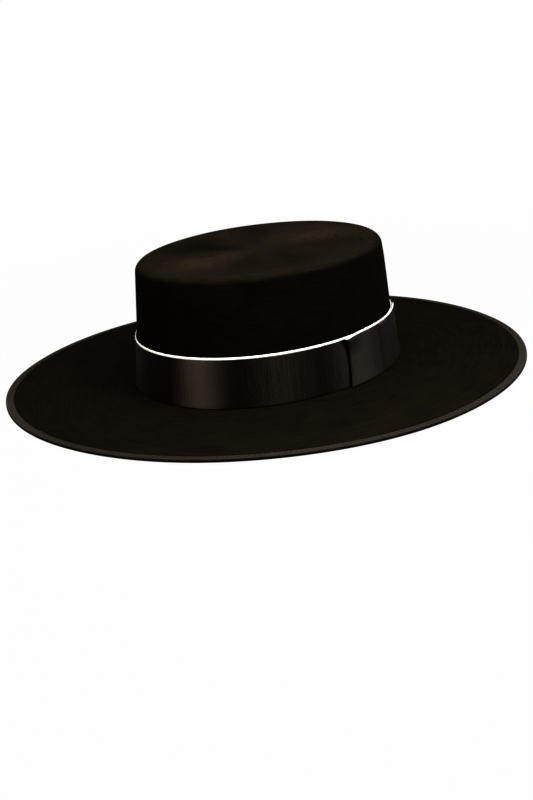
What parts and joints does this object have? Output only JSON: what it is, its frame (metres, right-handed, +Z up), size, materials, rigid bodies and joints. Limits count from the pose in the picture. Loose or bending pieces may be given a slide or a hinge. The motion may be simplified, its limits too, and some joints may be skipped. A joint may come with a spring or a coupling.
{
  "type": "flat-brimmed felt hat",
  "caption": "Flat-topped oval felt hat with a wide flat brim, ribbon-bound edge, piped grosgrain band and flat side bow; worn on the head.",
  "frame": {"origin": "under the middle of the crown, on the plane that the brim's bound edge rests on", "axes": "+Z up through the crown, -Y towards the front of the hat, +X towards the wearer's left, where the bow is"},
  "size_m": [0.357, 0.3854, 0.0875],
  "materials": {
    "felt": "matt brushed wool felt",
    "binding_ribbon": "ribbed grosgrain, soft sheen",
    "band_ribbon": "ribbed grosgrain, soft sheen",
    "white_piping": "satin cord"
  },
  "bodies": {
    "root": {"felt_body": "felt", "brim_binding": "binding_ribbon", "hat_band": "band_ribbon", "band_piping": "white_piping", "bow_loop": "band_ribbon", "bow_knot": "band_ribbon", "bow_piping": "white_piping"}
  },
  "joints": []
}
